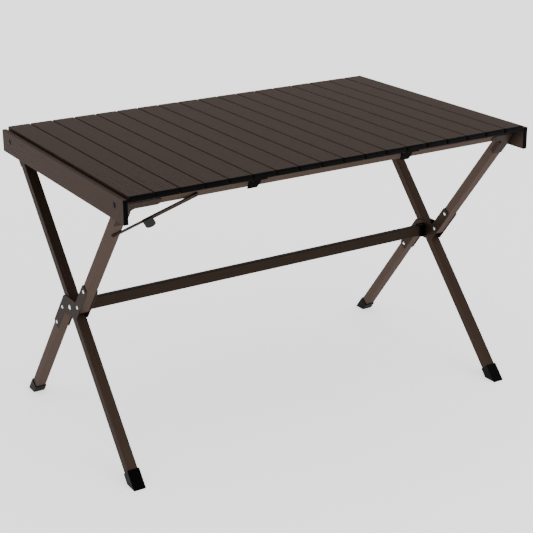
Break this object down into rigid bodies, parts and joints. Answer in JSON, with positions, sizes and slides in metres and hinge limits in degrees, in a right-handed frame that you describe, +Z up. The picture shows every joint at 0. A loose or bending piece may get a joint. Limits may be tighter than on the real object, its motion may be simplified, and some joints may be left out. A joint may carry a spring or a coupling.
{
  "type": "folding table",
  "caption": "Folding camping table with a roll-up slatted metal top on two crossed leg pairs, joined by a stretcher and stiffened by a folding corner brace",
  "frame": {"origin": "on the floor, under the middle of the table top", "axes": "+X along the table's length, -Y the front edge with the folding brace, +Z up"},
  "size_m": [1.109, 0.7, 0.705],
  "materials": {
    "slat_metal": "brown anodised aluminium with a fine lengthwise grain",
    "frame_metal": "brown anodised aluminium tube",
    "bracket_metal": "brown coated steel sheet",
    "rivet_steel": "bright rivet steel",
    "black_plastic": "black moulded nylon, fine matt grain"
  },
  "bodies": {
    "rear_frame": {"rear_rail": "frame_metal", "left_leg_long": "frame_metal", "right_leg_long": "frame_metal", "rear_brackets": "bracket_metal", "rear_rivets": "rivet_steel", "front_feet": "black_plastic", "stretcher": "frame_metal", "stretcher_ends": "black_plastic"},
    "front_frame": {"front_rail": "frame_metal", "left_leg_upper": "frame_metal", "left_leg_lower": "frame_metal", "right_leg_upper": "frame_metal", "right_leg_lower": "frame_metal", "pivot_plates": "bracket_metal", "front_brackets": "bracket_metal", "front_rivets": "rivet_steel", "rear_feet": "black_plastic"},
    "brace_upper": {"brace_upper_link": "bracket_metal", "brace_pull_tab": "black_plastic"},
    "brace_lower": {"brace_lower_link": "bracket_metal"},
    "slat_01": {"slat_01": "slat_metal", "slat_caps_01": "black_plastic"},
    "slat_02": {"slat_02": "slat_metal", "slat_caps_02": "black_plastic"},
    "slat_03": {"slat_03": "slat_metal", "slat_caps_03": "black_plastic"},
    "slat_04": {"slat_04": "slat_metal", "slat_caps_04": "black_plastic"},
    "slat_05": {"slat_05": "slat_metal", "slat_caps_05": "black_plastic"},
    "slat_06": {"slat_06": "slat_metal", "slat_caps_06": "black_plastic"},
    "slat_07": {"slat_07": "slat_metal", "slat_caps_07": "black_plastic"},
    "slat_08": {"slat_08": "slat_metal", "slat_caps_08": "black_plastic"},
    "slat_09": {"slat_09": "slat_metal", "slat_caps_09": "black_plastic"},
    "slat_10": {"slat_10": "slat_metal", "slat_caps_10": "black_plastic"},
    "slat_11": {"slat_11": "slat_metal", "slat_caps_11": "black_plastic"},
    "slat_12": {"slat_12": "slat_metal", "slat_caps_12": "black_plastic"},
    "slat_13": {"slat_13": "slat_metal", "slat_caps_13": "black_plastic"},
    "slat_14": {"slat_14": "slat_metal", "slat_caps_14": "black_plastic"},
    "slat_15": {"slat_15": "slat_metal", "slat_caps_15": "black_plastic"},
    "slat_16": {"slat_16": "slat_metal", "slat_caps_16": "black_plastic"},
    "slat_17": {"slat_17": "slat_metal", "slat_caps_17": "black_plastic"},
    "slat_18": {"slat_18": "slat_metal", "slat_caps_18": "black_plastic"},
    "left_end": {"left_end_rail": "slat_metal", "left_end_fittings": "black_plastic"},
    "right_end": {"right_end_rail": "slat_metal", "right_end_fittings": "black_plastic"}
  },
  "joints": [
    {"name": "top_lift", "type": "slide", "parent": "rear_frame", "child": "slat_09", "axis": [0, 0, 1], "range_m": [0, 0.49]},
    {"name": "frame_fold", "type": "hinge", "parent": "rear_frame", "child": "front_frame", "pos_m": [0, 0, 0.3384], "axis": [-1, 0, 0], "range_deg": [0, 78]},
    {"name": "roll_09_10", "type": "hinge", "parent": "slat_09", "child": "slat_10", "pos_m": [0, 0, 0.6955], "axis": [0, -1, 0], "range_deg": [0, 17]},
    {"name": "roll_10_11", "type": "hinge", "parent": "slat_10", "child": "slat_11", "pos_m": [0.06, 0, 0.6955], "axis": [0, -1, 0], "range_deg": [0, 17]},
    {"name": "roll_11_12", "type": "hinge", "parent": "slat_11", "child": "slat_12", "pos_m": [0.12, 0, 0.6955], "axis": [0, -1, 0], "range_deg": [0, 17]},
    {"name": "roll_12_13", "type": "hinge", "parent": "slat_12", "child": "slat_13", "pos_m": [0.18, 0, 0.6955], "axis": [0, -1, 0], "range_deg": [0, 17]},
    {"name": "roll_13_14", "type": "hinge", "parent": "slat_13", "child": "slat_14", "pos_m": [0.24, 0, 0.6955], "axis": [0, -1, 0], "range_deg": [0, 17]},
    {"name": "roll_14_15", "type": "hinge", "parent": "slat_14", "child": "slat_15", "pos_m": [0.3, 0, 0.6955], "axis": [0, -1, 0], "range_deg": [0, 17]},
    {"name": "roll_15_16", "type": "hinge", "parent": "slat_15", "child": "slat_16", "pos_m": [0.36, 0, 0.6955], "axis": [0, -1, 0], "range_deg": [0, 17]},
    {"name": "roll_16_17", "type": "hinge", "parent": "slat_16", "child": "slat_17", "pos_m": [0.42, 0, 0.6955], "axis": [0, -1, 0], "range_deg": [0, 17]},
    {"name": "roll_17_18", "type": "hinge", "parent": "slat_17", "child": "slat_18", "pos_m": [0.48, 0, 0.6955], "axis": [0, -1, 0], "range_deg": [0, 17]},
    {"name": "roll_18_end", "type": "hinge", "parent": "slat_18", "child": "right_end", "pos_m": [0.5405, 0, 0.6955], "axis": [0, -1, 0], "range_deg": [0, 17]},
    {"name": "roll_09_08", "type": "hinge", "parent": "slat_09", "child": "slat_08", "pos_m": [-0.06, 0, 0.6955], "axis": [0, 1, 0], "range_deg": [0, 17]},
    {"name": "roll_08_07", "type": "hinge", "parent": "slat_08", "child": "slat_07", "pos_m": [-0.12, 0, 0.6955], "axis": [0, 1, 0], "range_deg": [0, 17]},
    {"name": "roll_07_06", "type": "hinge", "parent": "slat_07", "child": "slat_06", "pos_m": [-0.18, 0, 0.6955], "axis": [0, 1, 0], "range_deg": [0, 17]},
    {"name": "roll_06_05", "type": "hinge", "parent": "slat_06", "child": "slat_05", "pos_m": [-0.24, 0, 0.6955], "axis": [0, 1, 0], "range_deg": [0, 17]},
    {"name": "roll_05_04", "type": "hinge", "parent": "slat_05", "child": "slat_04", "pos_m": [-0.3, 0, 0.6955], "axis": [0, 1, 0], "range_deg": [0, 17]},
    {"name": "roll_04_03", "type": "hinge", "parent": "slat_04", "child": "slat_03", "pos_m": [-0.36, 0, 0.6955], "axis": [0, 1, 0], "range_deg": [0, 17]},
    {"name": "roll_03_02", "type": "hinge", "parent": "slat_03", "child": "slat_02", "pos_m": [-0.42, 0, 0.6955], "axis": [0, 1, 0], "range_deg": [0, 17]},
    {"name": "roll_02_01", "type": "hinge", "parent": "slat_02", "child": "slat_01", "pos_m": [-0.48, 0, 0.6955], "axis": [0, 1, 0], "range_deg": [0, 17]},
    {"name": "roll_01_end", "type": "hinge", "parent": "slat_01", "child": "left_end", "pos_m": [-0.5405, 0, 0.6955], "axis": [0, 1, 0], "range_deg": [0, 17]},
    {"name": "brace_fold", "type": "hinge", "parent": "front_frame", "child": "brace_upper", "pos_m": [-0.36298, -0.31317, 0.66928], "axis": [0, 0.7866, 0.6175], "range_deg": [0, 6.5]},
    {"name": "brace_knee", "type": "hinge", "parent": "brace_upper", "child": "brace_lower", "pos_m": [-0.44549, -0.28167, 0.62917], "axis": [0, 0.7866, 0.6175], "range_deg": [-13, 0]}
  ],
  "couplings": [
    {"joint": "frame_fold", "follows": "top_lift", "rad_per_m": 2.7605},
    {"joint": "roll_10_11", "follows": "roll_09_10", "ratio": 1},
    {"joint": "roll_11_12", "follows": "roll_09_10", "ratio": 1},
    {"joint": "roll_12_13", "follows": "roll_09_10", "ratio": 1},
    {"joint": "roll_13_14", "follows": "roll_09_10", "ratio": 1},
    {"joint": "roll_14_15", "follows": "roll_09_10", "ratio": 1},
    {"joint": "roll_15_16", "follows": "roll_09_10", "ratio": 1},
    {"joint": "roll_16_17", "follows": "roll_09_10", "ratio": 1},
    {"joint": "roll_17_18", "follows": "roll_09_10", "ratio": 1},
    {"joint": "roll_18_end", "follows": "roll_09_10", "ratio": 1},
    {"joint": "roll_08_07", "follows": "roll_09_08", "ratio": 1},
    {"joint": "roll_07_06", "follows": "roll_09_08", "ratio": 1},
    {"joint": "roll_06_05", "follows": "roll_09_08", "ratio": 1},
    {"joint": "roll_05_04", "follows": "roll_09_08", "ratio": 1},
    {"joint": "roll_04_03", "follows": "roll_09_08", "ratio": 1},
    {"joint": "roll_03_02", "follows": "roll_09_08", "ratio": 1},
    {"joint": "roll_02_01", "follows": "roll_09_08", "ratio": 1},
    {"joint": "roll_01_end", "follows": "roll_09_08", "ratio": 1},
    {"joint": "brace_knee", "follows": "brace_fold", "ratio": -2}
  ]
}
